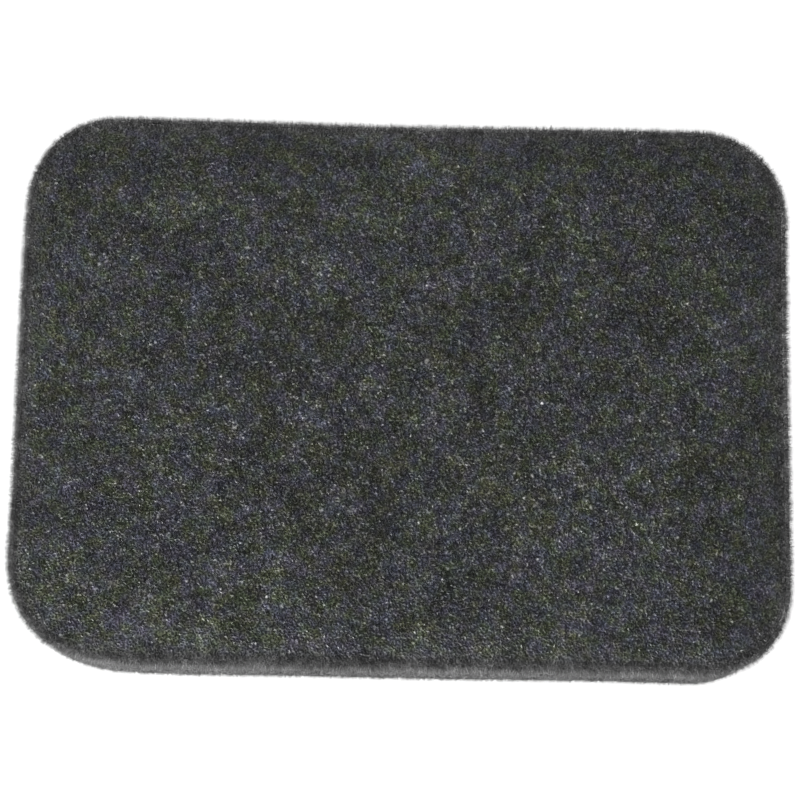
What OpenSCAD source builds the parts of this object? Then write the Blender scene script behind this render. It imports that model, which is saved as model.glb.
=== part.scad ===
// Foam air filter element for a small engine.
// It is one block of open-cell polyurethane foam, die-cut to a rounded rectangle.
// The origin is at the middle of the lower face. X runs along the length, Y across
// the width and Z up through the thickness. Dimensions are in millimetres.

/* [Block] */
// Length of the element, along X
element_length = 130; // [90:1:180]
// Width of the element, along Y
element_width = 93; // [60:1:150]
// Thickness of the foam, along Z
foam_thickness = 20; // [8:1:40]

/* [Corners] */
// Radius of the four upright corners
corner_radius = 15; // [4:1:25]

/* [Hidden] */
$fn = 96;
foam_color = [0.24, 0.25, 0.25];

// A flat outline with four rounded corners, centred on the origin.
module rounded_rectangle(length, width, radius) {
    corner_x = length / 2 - radius;
    corner_y = width / 2 - radius;
    square([length, 2 * corner_y], center = true);
    square([2 * corner_x, width], center = true);
    for (x = [-corner_x, corner_x], y = [-corner_y, corner_y])
        translate([x, y]) circle(r = radius);
}

// The filter element: a solid block, flat above and below, with upright walls.
module foam_element() {
    color(foam_color)
        linear_extrude(height = foam_thickness)
            rounded_rectangle(element_length, element_width, corner_radius);
}

foam_element();
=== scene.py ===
"""Looks of the foam air filter element: one die-cut block of open-cell foam.

The block's surface is a net of pores and struts. Points are spread evenly over the rounded slab
and joined into triangles: every point becomes a pore, and every triangle a node of three struts.
Loose ends of cut struts stand out of the net, and a fringe of finer ones runs round its rims.
"""
import math

import bpy
import numpy as np
from mathutils import Matrix, Vector
from mathutils.geometry import delaunay_2d_cdt


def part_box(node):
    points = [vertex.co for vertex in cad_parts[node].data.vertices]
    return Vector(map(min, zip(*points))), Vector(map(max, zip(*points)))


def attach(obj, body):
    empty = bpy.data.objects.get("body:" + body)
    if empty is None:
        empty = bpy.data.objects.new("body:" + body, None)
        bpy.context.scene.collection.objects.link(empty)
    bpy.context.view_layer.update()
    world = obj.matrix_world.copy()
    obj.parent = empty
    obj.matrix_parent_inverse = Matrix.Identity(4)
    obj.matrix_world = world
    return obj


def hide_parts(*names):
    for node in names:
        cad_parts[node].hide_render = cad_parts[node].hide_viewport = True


MM = 0.001
NODE = "foam_element"

# The block. The corners run from the near left one, counterclockwise. The wall is hollow halfway down
# and flares at its base, and the whole outline stands out from the CAD block's by the swell.
CORNER_RADII = (17.0 * MM, 14.8 * MM, 14.7 * MM, 14.8 * MM)
TOP_RIM_RADIUS = 1.3 * MM
BASE_RIM_RADIUS = 0.2 * MM
WALL_HOLLOW = 0.3 * MM
BASE_FLARE = 0.1 * MM
SWELL = 0.27 * MM
# The top rolls off gently towards its edges: how far down, and how far in.
EDGE_ROLL = 1.1 * MM
ROLL_REACH = 4.0 * MM
# The die's cut wavers: at these distances along the outline, over this reach, by this much outwards.
CUT_WAVER = (
    (2 * MM, 8 * MM, 0.06 * MM),
    (34 * MM, 8 * MM, -0.1 * MM),
    (60 * MM, 6 * MM, 0.35 * MM),
    (142 * MM, 12 * MM, 0.2 * MM),
    (212 * MM, 14 * MM, -0.27 * MM),
    (224 * MM, 5 * MM, 0.12 * MM),
    (256 * MM, 12 * MM, 0.18 * MM),
    (275 * MM, 6 * MM, -0.3 * MM),
    (325 * MM, 12 * MM, -0.2 * MM),
    (352 * MM, 4 * MM, 0.2 * MM),
    (362 * MM, 4 * MM, -0.4 * MM),
    (380 * MM, 8 * MM, 0.1 * MM),
)
# The cut isn't quite square: how far the top is pushed towards the far side.
CUT_LEAN = 0.45 * MM
# The sliced face isn't quite flat: size and height of its waves.
SLICE_WAVES = ((14 * MM, 0.18 * MM), (3.5 * MM, 0.07 * MM))
SLICE_SEED = 11
# The smooth noise behind them: random values each way, and cells between its corner and the origin.
NOISE_CELLS = 64
NOISE_START = 1000.0

# The pores. Some are shallow, because their window is still closed, and the foot is pressed smooth.
# The scatters are shares of the pitch, and so are the gaps that keep them off the rims.
SURFACE_SEED = 7
PORE_PITCH = 0.5 * MM
PORE_SCATTER = 0.5
RIM_SCATTER = 0.25
SHEET_GAP = 0.6
WALL_GAP = 0.55
PORE_DEPTH = 0.26 * MM
DEPTH_SPREAD = (0.6, 1.3)
CLOSED_SHARE = 0.10
CLOSED_DEPTH = 0.12 * MM
FOOT_HEIGHT = 1.5 * MM
FOOT_DEPTH = 0.2

# The nodes, where three struts meet: some are cut high, and some are torn low.
NODE_SCATTER = 0.04 * MM
HIGH_SHARE = 0.12
HIGH_RISE = (0.05 * MM, 0.20 * MM)
LOW_SHARE = 0.25
LOW_FALL = (0.10 * MM, 0.35 * MM)

# How bright the nodes and the pores' floors are painted: a random tone with painted highlights at the
# nodes, painted shade on the floors, the highlights evener near the cut edges, and painted light near
# the top rim.
TONE_AND_PAINTED_GLINT_SPREAD = 0.7
PORE_FLOOR_PAINTED_SHADE = 0.6
EDGE_REACH = 8.0 * MM
EDGE_EVENNESS = 0.7
RIM_REACH = 1.2 * MM
RIM_PAINTED_LIGHT = 0.8

# The loose ends of cut struts, and the finer ones of the fringes: spikes of four points each. A high
# lift stands an end up, and the shortest end is a share of the longest.
ENDS_PER_NODE = 0.3
END_LENGTH = 0.55 * MM
END_RADIUS = 0.045 * MM
END_LIFT = (0.1, 0.9)
END_ROOT = 0.08 * MM
SHORTEST_END = 0.3
SPIKE_POINTS = 4
FRINGE_RADIUS = 0.025 * MM
FRINGE_LIFT = (1.0, 4.0)
# Painted light on the fringes' thin ends, as if light shone through them.
FRINGE_PAINTED_LIGHT = 2.2
# Each fringe: ends per mm of outline, the share of the wall where they begin, which way down the
# wall they spread, how far they spread, and the longest of them.
FRINGES = (
    (120, 0.02, 1, 3.2 * MM, 1.45 * MM),
    (45, 0.985, -1, 3.0 * MM, 1.0 * MM),
)

# The camera, as the photographer held it: angles in degrees, and the lens as for a full-frame sensor.
CAMERA_AZIMUTH = -3.65
CAMERA_ELEVATION = 79.07
CAMERA_ROLL = 4.8
CAMERA_DISTANCE = 350 * MM
CAMERA_LENS = 93.6
CAMERA_SENSOR = 36
CAMERA_AIM = (-0.53 * MM, -1.59 * MM)
CAMERA_CLIP = (0.01, 10)

# How the foam takes the light.
FOAM_GLOSS = {
    "Roughness": 0.3,
    "Specular IOR Level": 0.4,
    "Sheen Weight": 0.35,
    "Sheen Roughness": 0.4,
}
# The foam's grey, its greenish cast, the neutral cast of its rims, and the most of a point's painted
# brightness that is tinted. Brightness beyond it is painted highlight, in white.
FOAM_GREY = 0.0805
FOAM_CAST = (0.968, 1.034, 0.991)
RIM_CAST = (1.0, 1.0, 1.01)
DULL_MOST = 1.0
# Tinted patches: their size, the two colours they run between, and how far their noise is moved, in
# metres, so that the two kinds don't fall together.
OLIVE_TO_VIOLET = (2.6 * MM, (0.975, 1.05, 0.60), (1.035, 0.965, 1.43), 0.3)
TEAL_TO_ROSE = (3.2 * MM, (0.91, 1.04, 1.04), (1.07, 0.975, 1.0), 0.7)
# The noise values at which a patch has fully taken one colour or the other.
TINT_STOPS = (0.35, 0.65)
# Painted light on the nodes and painted shade on the pores' floors, and the share of a pore's depth
# where each is full.
NODE_PAINTED_LIGHT = 1.07
FLOOR_PAINTED_SHADE = 0.77
NODE_CAVITY = -0.1
FLOOR_CAVITY = 0.9
# Uneven patches: their size, and the shade of the darkest and the palest.
PATCHES = (
    (30 * MM, 0.85, 1.15),
    (9 * MM, 0.78, 1.22),
    (3.0 * MM, 0.68, 1.32),
    (1.2 * MM, 0.65, 1.35),
)
# The noise values of the darkest and the palest.
PATCH_RANGE = (0.3, 0.7)

# The studio: soft light from the sky, a bright haze all round just above the table that fades
# upwards with this power, and a glowing table.
SKY = 0.15
HAZE = 4.5
HAZE_FALL = 12.0
TABLE_SIZE = 6.0
TABLE_GREY = 0.2
TABLE_ROUGHNESS = 0.9
TABLE_GLOW = 1.05
# The lamps: name, place, size and watts.
LAMPS = (
    ("softbox", (-0.2, -0.1, 0.35), 0.25, 0.65),
    ("side_lamp", (-0.2, -0.25, 0.07), 0.08, 0.45),
    ("near_lamp", (-0.05, -0.28, 0.06), 0.08, 0.2),
    ("window", (-0.45, 0.35, 0.8), 0.06, 1.0),
)

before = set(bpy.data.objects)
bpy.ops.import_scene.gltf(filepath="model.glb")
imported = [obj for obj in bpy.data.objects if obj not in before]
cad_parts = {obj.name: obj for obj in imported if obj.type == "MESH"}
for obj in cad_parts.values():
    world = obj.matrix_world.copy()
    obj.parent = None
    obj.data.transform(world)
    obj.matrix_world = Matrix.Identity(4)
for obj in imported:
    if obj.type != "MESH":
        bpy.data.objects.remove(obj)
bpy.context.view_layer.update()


# ---------------------------------------------------------------- shape helpers


def noise3(points, size, seed):
    """Smooth random values from -1 to 1 that change over the given size."""
    grid = np.random.default_rng(seed).uniform(-1, 1, (NOISE_CELLS, NOISE_CELLS, NOISE_CELLS))
    at = points / size + NOISE_START
    cell = np.floor(at).astype(int)
    past = at - cell
    eased = past * past * (3 - 2 * past)
    total = np.zeros(len(points))
    for dx in (0, 1):
        for dy in (0, 1):
            for dz in (0, 1):
                share = np.abs(1 - np.array((dx, dy, dz)) - eased).prod(axis=1)
                x, y, z = ((cell + (dx, dy, dz)) % NOISE_CELLS).T
                total += share * grid[x, y, z]
    return total


class Outline:
    """A rounded rectangle that runs counterclockwise from the middle of its near side."""

    def __init__(self, low, high, radii):
        self.low, self.high, self.radii = np.array(low), np.array(high), radii
        corner = np.array([low, (high[0], low[1]), high, (low[0], high[1])])
        inward = np.array([(1, 1), (-1, 1), (-1, -1), (1, -1)])
        centre = corner + inward * np.array(radii)[:, None]
        first_angle = (math.pi, 1.5 * math.pi, 0.0, 0.5 * math.pi)
        middle = np.array(((low[0] + high[0]) / 2, low[1]))
        self.spans = []
        self.length = 0.0
        start = middle
        for k in (1, 2, 3, 0):
            angle = first_angle[k]
            run = radii[k] * math.pi / 2
            self.add_line(start, centre[k] + radii[k] * direction(angle))
            self.spans.append(("arc", self.length, run, centre[k], (radii[k], angle)))
            self.length += run
            start = centre[k] + radii[k] * direction(angle + math.pi / 2)
        self.add_line(start, middle)

    def add_line(self, start, end):
        """One straight side."""
        run = float(np.linalg.norm(end - start))
        self.spans.append(("line", self.length, run, start, (end - start) / run))
        self.length += run

    def at(self, along):
        """Points and outward directions at these distances along the outline."""
        along = np.mod(along, self.length)
        place = np.zeros((len(along), 2))
        out = np.zeros((len(along), 2))
        for kind, begin, run, base, extra in self.spans:
            here = (along >= begin) & (along <= begin + run)
            past = along[here] - begin
            if kind == "line":
                place[here] = base + past[:, None] * extra
                out[here] = (extra[1], -extra[0])
            else:
                radius, angle = extra
                out[here] = direction(angle + past / radius).T
                place[here] = base + radius * out[here]
        return place, out

    def inside(self, points):
        """How far each point is inside the outline."""
        middle, half = (self.low + self.high) / 2, (self.high - self.low) / 2
        side = points - middle
        right, far = side[:, 0] > 0, side[:, 1] > 0
        radius = np.array(self.radii)[np.where(far, np.where(right, 2, 3), np.where(right, 1, 0))]
        over = np.abs(side) - half + radius[:, None]
        round_part = np.linalg.norm(np.maximum(over, 0), axis=1)
        flat_part = np.minimum(over.max(axis=1), 0)
        return radius - round_part - flat_part


def direction(angle):
    """The unit vector at this angle, or the two rows of them for many angles."""
    return np.array((np.cos(angle), np.sin(angle)))


def scattered(low, high, rng):
    """Points on a triangular lattice over a rectangle, each moved a little at random."""
    row_step = PORE_PITCH * math.sqrt(3) / 2
    rows = int((high[1] - low[1]) / row_step) + 2
    columns = int((high[0] - low[0]) / PORE_PITCH) + 2
    row, column = np.meshgrid(np.arange(rows), np.arange(columns), indexing="ij")
    x = low[0] + (column + 0.5 * (row % 2)) * PORE_PITCH
    y = low[1] + row * row_step
    points = np.stack([x.ravel(), y.ravel()], 1)
    return points + rng.uniform(-1, 1, points.shape) * PORE_PITCH * PORE_SCATTER


def triangulated(points):
    """Delaunay triangles over flat points, each counterclockwise."""
    flat = [Vector(point) for point in np.round(points / MM, 6)]
    whole_hull = 0
    closest = 1e-7
    _, _, faces, origin, _, _ = delaunay_2d_cdt(flat, [], [], whole_hull, closest, True)
    triangles = np.array([given[0] for given in origin])[np.array(faces)]
    a, b, c = (points[triangles[:, k]] for k in range(3))
    u, v = b - a, c - a
    turned = u[:, 0] * v[:, 1] - u[:, 1] * v[:, 0] < 0
    triangles[turned] = triangles[turned][:, ::-1]
    return triangles


# ---------------------------------------------------------------- the foam block


class Slab:
    """The block as a smooth solid: a flat top and base, and a slightly hollow wall with two rims."""

    def __init__(self):
        self.low, self.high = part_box(NODE)
        self.height = self.high.z
        self.wall_length = self.height + (TOP_RIM_RADIUS + BASE_RIM_RADIUS) * (math.pi / 2 - 1)
        self.outline = self.outline_at(0.0)

    def outline_at(self, offset):
        """The top sheet's outline, moved outwards."""
        grow = SWELL - TOP_RIM_RADIUS + offset
        low, high = self.low, self.high
        radii = [radius + grow for radius in CORNER_RADII]
        return Outline((low.x - grow, low.y - grow), (high.x + grow, high.y + grow), radii)

    def profile(self, down):
        """The wall's offset from the top sheet's outline, its height, and its normal, out and up.

        The distances run down the wall: round the top rim, down the wall, and round the base's rim.
        """
        quarter = TOP_RIM_RADIUS * math.pi / 2
        straight = self.height - TOP_RIM_RADIUS - BASE_RIM_RADIUS
        top = np.clip(down / TOP_RIM_RADIUS, 0, math.pi / 2)
        base = np.clip((down - quarter - straight) / BASE_RIM_RADIUS, 0, math.pi / 2)
        fall = np.clip(down - quarter, 0, straight)
        z = self.height - TOP_RIM_RADIUS * (1 - np.cos(top)) - fall - BASE_RIM_RADIUS * np.sin(base)
        share = fall / straight
        bend = BASE_FLARE * share - WALL_HOLLOW * np.sin(math.pi * share)
        offset = TOP_RIM_RADIUS * np.sin(top) - BASE_RIM_RADIUS * (1 - np.cos(base)) + bend
        return offset, z, np.sin(top) * np.cos(base), np.cos(top) - np.sin(base)

    def wall(self, along, down):
        """Places on the wall and their normals."""
        flat, out = self.outline.at(along)
        offset, z, normal_out, normal_up = self.profile(down)
        place = np.column_stack([flat + out * offset[:, None], z])
        return place, np.column_stack([out * normal_out[:, None], normal_up])

    def inside(self, place):
        """How far each place is inside the top sheet's outline, and 0 beyond it."""
        upright = place[:, :2] - np.outer(place[:, 2] / self.height, (0, CUT_LEAN))
        return np.maximum(self.outline.inside(upright), 0)

    def cut(self, place):
        """The places as a real cut leaves them, with the die's and the slicing blade's small errors."""
        for along, reach, push in CUT_WAVER:
            centre, out = self.outline.at(np.array([along]))
            near = np.exp(-((place[:, :2] - centre) ** 2).sum(axis=1) / (2 * reach**2))
            place[:, :2] += near[:, None] * out * push
        place[:, 1] += CUT_LEAN * place[:, 2] / self.height
        lift = -EDGE_ROLL * np.exp(-self.inside(place) / ROLL_REACH)
        for k, (size, rise) in enumerate(SLICE_WAVES):
            lift += rise * noise3(place * (1, 1, 0), size, SLICE_SEED + k)
        place[:, 2] += place[:, 2] / self.height * lift
        return place


class Net:
    """Points spread evenly over the whole slab, their outward normals, and triangles between them."""

    def __init__(self, slab, rng):
        self.slab, self.rng = slab, rng
        self.run = slab.outline.length
        self.loop_count = round(self.run / PORE_PITCH)
        self.places, self.normals, self.triangles = [], [], []
        self.count = 0
        top = self.add_sheet(slab.height, 1.0, 0.0)
        base = self.add_sheet(0.0, -1.0, slab.wall_length)
        self.add_wall((top, base))
        self.place = slab.cut(np.concatenate(self.places))
        self.normal = np.concatenate(self.normals)
        self.triangle = np.concatenate(self.triangles)

    def add_points(self, place, normal):
        """New points, and the numbers that they get."""
        self.places.append(place)
        self.normals.append(normal)
        self.count += len(place)
        return np.arange(self.count - len(place), self.count)

    def add_sheet(self, z, up, down):
        """A flat sheet inside a loop of points on its outline, which is this far down the wall."""
        offset = float(self.slab.profile(np.array([down]))[0][0])
        sheet = self.slab.outline_at(offset)
        along = np.arange(self.loop_count) / self.loop_count * self.run
        along[1:] += self.rng.uniform(-RIM_SCATTER, RIM_SCATTER, self.loop_count - 1) * PORE_PITCH
        rim, out = self.slab.outline.at(along)
        inner = scattered(sheet.low, sheet.high, self.rng)
        inner = inner[sheet.inside(inner) > SHEET_GAP * PORE_PITCH]
        flat = np.concatenate([rim + out * offset, inner])
        normal = np.tile((0, 0, up), (len(flat), 1))
        normal[: self.loop_count] = np.column_stack([out, np.full(self.loop_count, up)]) / math.sqrt(2)
        ids = self.add_points(np.column_stack([flat, np.full(len(flat), z)]), normal)
        found = triangulated(flat)
        self.triangles.append(ids[found if up > 0 else found[:, ::-1]])
        return along, ids[: self.loop_count], down

    def add_wall(self, loops):
        """The wall between the sheets' loops.

        It is unrolled: distance along the outline, and distance down. Its two ends meet at a seam.
        """
        run, length = self.run, self.slab.wall_length
        steps = round(length / PORE_PITCH)
        seam = np.arange(1, steps) / steps * length
        inner = scattered((0, 0), (run, length), self.rng)
        gap = WALL_GAP * PORE_PITCH
        inner = inner[((inner > gap) & (inner < (run - gap, length - gap))).all(axis=1)]
        new = np.concatenate([np.column_stack([np.zeros(len(seam)), seam]), inner])
        new_ids = self.add_points(*self.slab.wall(*new.T))
        flat = [new, np.column_stack([np.full(len(seam), run), seam])]
        ids = [new_ids, new_ids[: len(seam)]]
        for along, loop_ids, down in loops:
            flat.append(np.column_stack([np.append(along, run), np.full(self.loop_count + 1, down)]))
            ids.append(np.append(loop_ids, loop_ids[0]))
        found = triangulated(np.concatenate(flat))
        self.triangles.append(np.concatenate(ids)[found][:, ::-1])


def twins(triangles):
    """For each half-edge, the one that runs the other way in the next triangle.

    Half-edge k of triangle t is 3t + k.
    """
    begin = triangles.ravel()
    end = np.roll(triangles, -1, axis=1).ravel()
    order = np.lexsort((begin > end, np.maximum(begin, end), np.minimum(begin, end)))
    pairs = order.reshape(-1, 2)
    if (begin[pairs[:, 0]] != end[pairs[:, 1]]).any():
        raise RuntimeError("the slab's triangles don't close")
    twin = np.empty(len(begin), int)
    twin[pairs[:, 0]], twin[pairs[:, 1]] = pairs[:, 1], pairs[:, 0]
    return twin


def foam_relief(slab, rng):
    """The relief of pores and struts: points, triangles, each point's depth in a pore, and its tone and
    painted light.

    Every triangle of the net becomes a node of three struts, and every point of it a pore's floor. A
    strut joins the nodes on either side of an edge, and slopes down to the two floors.
    """
    net = Net(slab, rng)
    place, normal, triangles = net.place, net.normal, net.triangle
    count, nodes = len(place), len(triangles)

    node_normal = normal[triangles].sum(axis=1)
    node_normal /= np.linalg.norm(node_normal, axis=1)[:, None]
    kind = rng.uniform(0, 1, nodes)
    reach = rng.uniform(0, 1, nodes)
    rise = rng.normal(0, NODE_SCATTER, nodes)
    rise += np.where(kind < HIGH_SHARE, between(HIGH_RISE, reach), 0)
    rise -= np.where(kind > 1 - LOW_SHARE, between(LOW_FALL, reach), 0)
    node = place[triangles].mean(axis=1) + node_normal * rise[:, None]

    depth = PORE_DEPTH * rng.uniform(*DEPTH_SPREAD, count)
    depth = np.where(rng.uniform(0, 1, count) < CLOSED_SHARE, CLOSED_DEPTH, depth)
    depth *= np.clip(place[:, 2] / FOOT_HEIGHT, FOOT_DEPTH, 1)
    floor = place - normal * depth[:, None]

    face_node = count + np.arange(3 * nodes) // 3
    faces = np.stack([face_node[twins(triangles)], face_node, triangles.ravel()], 1)
    end_points, end_faces, end_tone_and_painted_light = strut_ends(slab, node, node_normal, rng)
    # The pores' floors get painted shade, and the nodes a random tone with painted highlights.
    floor_painted_shade = tone_and_painted_light_at(slab, floor, PORE_FLOOR_PAINTED_SHADE, 0.0, rng)
    node_tone_and_painted_glint = tone_and_painted_light_at(slab, node, 1.0, TONE_AND_PAINTED_GLINT_SPREAD, rng)
    return (
        np.concatenate([floor, node, end_points]),
        np.concatenate([faces, end_faces + count + nodes]),
        np.concatenate([depth / PORE_DEPTH, -rise / PORE_DEPTH, np.zeros(len(end_points))]),
        np.concatenate([floor_painted_shade, node_tone_and_painted_glint, end_tone_and_painted_light]),
    )


def between(ends, share):
    """The values at these shares of the way from one end to the other."""
    return ends[0] + (ends[1] - ends[0]) * share


def tone_and_painted_light_at(slab, place, middle, spread, rng):
    """How bright each place is painted: a random tone with a few painted highlights, evener near the
    edges, and painted light near the top rim.
    """
    inside = slab.inside(place)
    edge = np.exp(-inside / EDGE_REACH)
    # Painted light along the top rim.
    rim = np.exp(-np.hypot(inside, slab.height - place[:, 2]) / RIM_REACH)
    chance = rng.normal(0, 1, len(place))
    return middle * (1 + RIM_PAINTED_LIGHT * rim) * np.exp(spread * (1 - EDGE_EVENNESS * edge) * chance)


def strut_ends(slab, node, normal, rng):
    """Loose ends of cut struts: some all over the faces, and the fringes of thin ones."""
    at = np.flatnonzero(rng.uniform(0, 1, len(node)) > 1 - ENDS_PER_NODE)
    lift = rng.uniform(*END_LIFT, len(at))
    groups = [spikes(node[at], normal[at], lift, END_LENGTH, END_RADIUS, rng)]
    for per_mm, start, way, reach, longest in FRINGES:
        count = round(per_mm * slab.outline.length / MM)
        along = rng.uniform(0, slab.outline.length, count)
        down = start * slab.wall_length + way * reach * rng.uniform(0, 1, count) ** 2
        place, out = slab.wall(along, down)
        lift = rng.uniform(*FRINGE_LIFT, count)
        groups.append(spikes(slab.cut(place), out, lift, longest, FRINGE_RADIUS, rng))
    points = np.concatenate([group[0] for group in groups])
    starts = np.cumsum([0] + [len(group[0]) for group in groups])
    faces = np.concatenate([group[1] + begin for group, begin in zip(groups, starts)])
    # The loose ends get a random tone with painted highlights, and the fringes get painted light.
    loose = tone_and_painted_light_at(slab, node[at], 1.0, TONE_AND_PAINTED_GLINT_SPREAD, rng)
    fringe_count = len(points) // SPIKE_POINTS - len(at)
    fringe = FRINGE_PAINTED_LIGHT * np.exp(TONE_AND_PAINTED_GLINT_SPREAD * rng.normal(0, 1, fringe_count))
    return points, faces, np.repeat(np.concatenate([loose, fringe]), SPIKE_POINTS)


def spikes(foot, upright, lift, longest, radius, rng):
    """Thin three-sided spikes that stand on these feet at a random slant."""
    count = len(foot)
    heading = rng.normal(0, 1, (count, 3))
    heading -= (heading * upright).sum(axis=1)[:, None] * upright
    heading /= np.linalg.norm(heading, axis=1)[:, None]
    way = heading + upright * lift[:, None]
    way /= np.linalg.norm(way, axis=1)[:, None]
    length = longest * rng.uniform(SHORTEST_END, 1.0, count)
    nudge = 0.01  # so that even a spike that stands straight up has a side
    side = np.cross(way, upright + nudge)
    side /= np.linalg.norm(side, axis=1)[:, None]
    other = np.cross(way, side)
    foot = foot - upright * END_ROOT
    corners = [
        foot + radius * (math.cos(turn) * side + math.sin(turn) * other)
        for turn in (0, math.tau / 3, 2 * math.tau / 3)
    ]
    points = np.stack([*corners, foot + way * length[:, None]], 1).reshape(-1, 3)
    tetrahedron = np.array([(0, 1, 3), (1, 2, 3), (2, 0, 3), (2, 1, 0)])
    return points, (tetrahedron + SPIKE_POINTS * np.arange(count)[:, None, None]).reshape(-1, 3)


def mesh_from(name, points, faces):
    """A mesh object from arrays of points and triangles."""
    mesh = bpy.data.meshes.new(name)
    mesh.vertices.add(len(points))
    mesh.vertices.foreach_set("co", points.astype(np.float32).ravel())
    mesh.loops.add(len(faces) * 3)
    mesh.loops.foreach_set("vertex_index", faces.astype(np.int32).ravel())
    mesh.polygons.add(len(faces))
    mesh.polygons.foreach_set("loop_start", np.arange(0, len(faces) * 3, 3, dtype=np.int32))
    mesh.update(calc_edges=True)
    made = bpy.data.objects.new(name, mesh)
    bpy.context.scene.collection.objects.link(made)
    return made


def foam_block():
    """The whole foam piece. Nothing of it dips below the table."""
    slab = Slab()
    points, faces, cavity, tone_and_painted_light = foam_relief(slab, np.random.default_rng(SURFACE_SEED))
    points[:, 2] = np.maximum(points[:, 2], 0)
    block = mesh_from("foam_block", points, faces)
    rim = np.exp(-slab.inside(points) / RIM_REACH)
    # The pores' depth drives painted shade, the second attribute holds random tone with painted
    # highlights, painted shade and painted rim light, and the rim's closeness mixes in the neutral cast.
    for name, values in (("cavity", cavity), ("tone_and_painted_light", tone_and_painted_light), ("rim", rim)):
        attribute = block.data.attributes.new(name, "FLOAT", "POINT")
        attribute.data.foreach_set("value", values.astype(np.float32))
    block.data.shade_flat()
    block.data.materials.append(foam_material())
    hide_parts(NODE)
    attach(block, "root")


# ---------------------------------------------------------------- material


def add_node(tree, kind, inputs=None, **settings):
    """A shader node with these settings. An input is linked if it is given a socket, or else set."""
    made = tree.nodes.new(kind)
    for key, value in settings.items():
        setattr(made, key, value)
    for key, value in (inputs or {}).items():
        if isinstance(value, bpy.types.NodeSocket):
            tree.links.new(value, made.inputs[key])
        else:
            made.inputs[key].default_value = value
    return made


def foam_material():
    """Black foam: painted shade in the pores, uneven struts with painted highlights, painted light at
    the rims, and faint patches of olive, violet and teal.
    """
    material = bpy.data.materials.new("open_cell_foam")
    material.use_nodes = True
    tree = material.node_tree
    shader = tree.nodes["Principled BSDF"]
    for name, value in FOAM_GLOSS.items():
        shader.inputs[name].default_value = value

    def node(kind, inputs=None, **settings):
        return add_node(tree, kind, inputs, **settings)

    def attribute(name):
        return node("ShaderNodeAttribute", attribute_name=name).outputs["Fac"]

    def scaled(value, low, high, new_low, new_high):
        span = {"Value": value, "From Min": low, "From Max": high, "To Min": new_low, "To Max": new_high}
        return node("ShaderNodeMapRange", span).outputs["Result"]

    def maths(operation, a, b):
        return node("ShaderNodeMath", {0: a, 1: b}, operation=operation).outputs[0]

    def vector(operation, a, b):
        return node("ShaderNodeVectorMath", {0: a, 1: b}, operation=operation).outputs[0]

    def times(colour, share):
        return node("ShaderNodeVectorMath", {0: colour, "Scale": share}, operation="SCALE").outputs[0]

    place = node("ShaderNodeTexCoord").outputs["Object"]

    def noise(size, offset=0.0):
        moved = vector("ADD", place, (offset, offset, 0))
        return node("ShaderNodeTexNoise", {"Vector": moved, "Scale": 1 / size}).outputs["Fac"]

    def tint(size, low, high, offset):
        made = node("ShaderNodeValToRGB", {"Fac": noise(size, offset)})
        for stop, position, colour in zip(made.color_ramp.elements, TINT_STOPS, (low, high)):
            stop.position, stop.color = position, (*colour, 1)
        return made.outputs["Color"]

    # Painted shade: darker the deeper a point lies in a pore, lightest on the nodes, times patches of
    # random tone.
    shade = scaled(attribute("cavity"), NODE_CAVITY, FLOOR_CAVITY, NODE_PAINTED_LIGHT, FLOOR_PAINTED_SHADE)
    for size, darkest, palest in PATCHES:
        shade = maths("MULTIPLY", shade, scaled(noise(size), *PATCH_RANGE, darkest, palest))
    grey = maths("MULTIPLY", shade, FOAM_GREY)

    patches = vector("MULTIPLY", tint(*OLIVE_TO_VIOLET), tint(*TEAL_TO_ROSE))
    cast = vector("MULTIPLY", patches, FOAM_CAST)
    mixed = {0: attribute("rim"), 6: cast, 7: (*RIM_CAST, 1)}
    hue = node("ShaderNodeMix", mixed, data_type="RGBA").outputs[2]
    # Each point's painted brightness: up to DULL_MOST it is tinted tone, and beyond it painted highlight
    # in white.
    tone_and_painted_light = attribute("tone_and_painted_light")
    dull = maths("MINIMUM", tone_and_painted_light, DULL_MOST)
    painted_highlight = maths("SUBTRACT", tone_and_painted_light, dull)
    colour = times(vector("ADD", times(hue, dull), painted_highlight), grey)
    tree.links.new(colour, shader.inputs["Base Color"])
    return material


# ---------------------------------------------------------------- studio


def studio():
    """A light table that glows more than it reflects, under soft daylight, with lamps at the left."""
    settings = bpy.context.scene.view_settings
    settings.view_transform = "Standard"
    settings.look = "None"
    daylight()
    table()
    for name, place, size, watts in LAMPS:
        area_light(name, place, size, watts)


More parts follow.
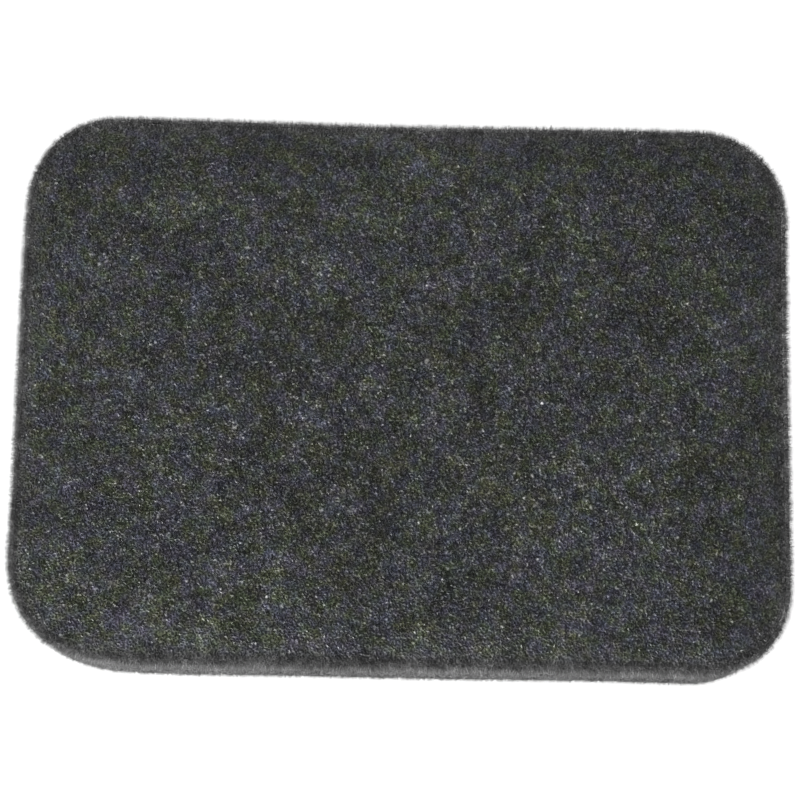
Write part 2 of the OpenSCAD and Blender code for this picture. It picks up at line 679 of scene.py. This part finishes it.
def daylight():
    """A dim sky with a bright haze round the horizon."""
    world = bpy.data.worlds.new("daylight")
    bpy.context.scene.world = world
    world.use_nodes = True
    tree = world.node_tree
    way = add_node(tree, "ShaderNodeTexCoord").outputs["Generated"]
    up = add_node(tree, "ShaderNodeSeparateXYZ", {0: way}).outputs["Z"]
    falling = {"Value": up, "To Min": 1.0, "To Max": 0.0}
    low = add_node(tree, "ShaderNodeMapRange", falling).outputs["Result"]
    haze = add_node(tree, "ShaderNodeMath", {0: low, 1: HAZE_FALL}, operation="POWER").outputs[0]
    strength = add_node(tree, "ShaderNodeMath", {0: haze, 1: HAZE, 2: SKY}, operation="MULTIPLY_ADD")
    background = tree.nodes["Background"]
    background.inputs["Color"].default_value = (1, 1, 1, 1)
    tree.links.new(strength.outputs[0], background.inputs["Strength"])


def table():
    """The square white table that the block lies on."""
    half = TABLE_SIZE / 2
    corners = np.array([(-half, -half, 0), (half, -half, 0), (half, half, 0), (-half, half, 0)])
    floor = mesh_from("floor", corners, np.array([(0, 1, 2), (0, 2, 3)]))
    paper = bpy.data.materials.new("paper")
    paper.use_nodes = True
    shader = paper.node_tree.nodes["Principled BSDF"]
    shader.inputs["Base Color"].default_value = (TABLE_GREY, TABLE_GREY, TABLE_GREY, 1)
    shader.inputs["Roughness"].default_value = TABLE_ROUGHNESS
    shader.inputs["Emission Color"].default_value = (1, 1, 1, 1)
    shader.inputs["Emission Strength"].default_value = TABLE_GLOW
    floor.data.materials.append(paper)


def area_light(name, place, size, watts):
    """A square lamp that faces the middle of the table."""
    lamp = bpy.data.lights.new(name, "AREA")
    lamp.size = size
    lamp.energy = watts
    made = bpy.data.objects.new(name, lamp)
    made.location = place
    made.rotation_euler = (-Vector(place)).to_track_quat("-Z", "Y").to_euler()
    bpy.context.scene.collection.objects.link(made)


def camera():
    """The photographer's view: almost straight down on the block, and turned a little."""
    azimuth, elevation = math.radians(CAMERA_AZIMUTH), math.radians(CAMERA_ELEVATION)
    level = math.cos(elevation)
    back = Vector((math.sin(azimuth) * level, -math.cos(azimuth) * level, math.sin(elevation)))
    aim = Vector((*CAMERA_AIM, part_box(NODE)[1].z))
    right = (-back).cross(Vector((0, 0, 1))).normalized()
    up = back.cross(right)
    turn = Matrix.Rotation(math.radians(CAMERA_ROLL), 3, back)
    columns = Matrix((turn @ right, turn @ up, back)).transposed()
    data = bpy.data.cameras.new("camera")
    data.lens = CAMERA_LENS
    data.sensor_width = CAMERA_SENSOR
    data.clip_start, data.clip_end = CAMERA_CLIP
    made = bpy.data.objects.new("camera", data)
    made.matrix_world = Matrix.Translation(aim + back * CAMERA_DISTANCE) @ columns.to_4x4()
    bpy.context.scene.collection.objects.link(made)
    bpy.context.scene.camera = made


camera()
studio()
foam_block()
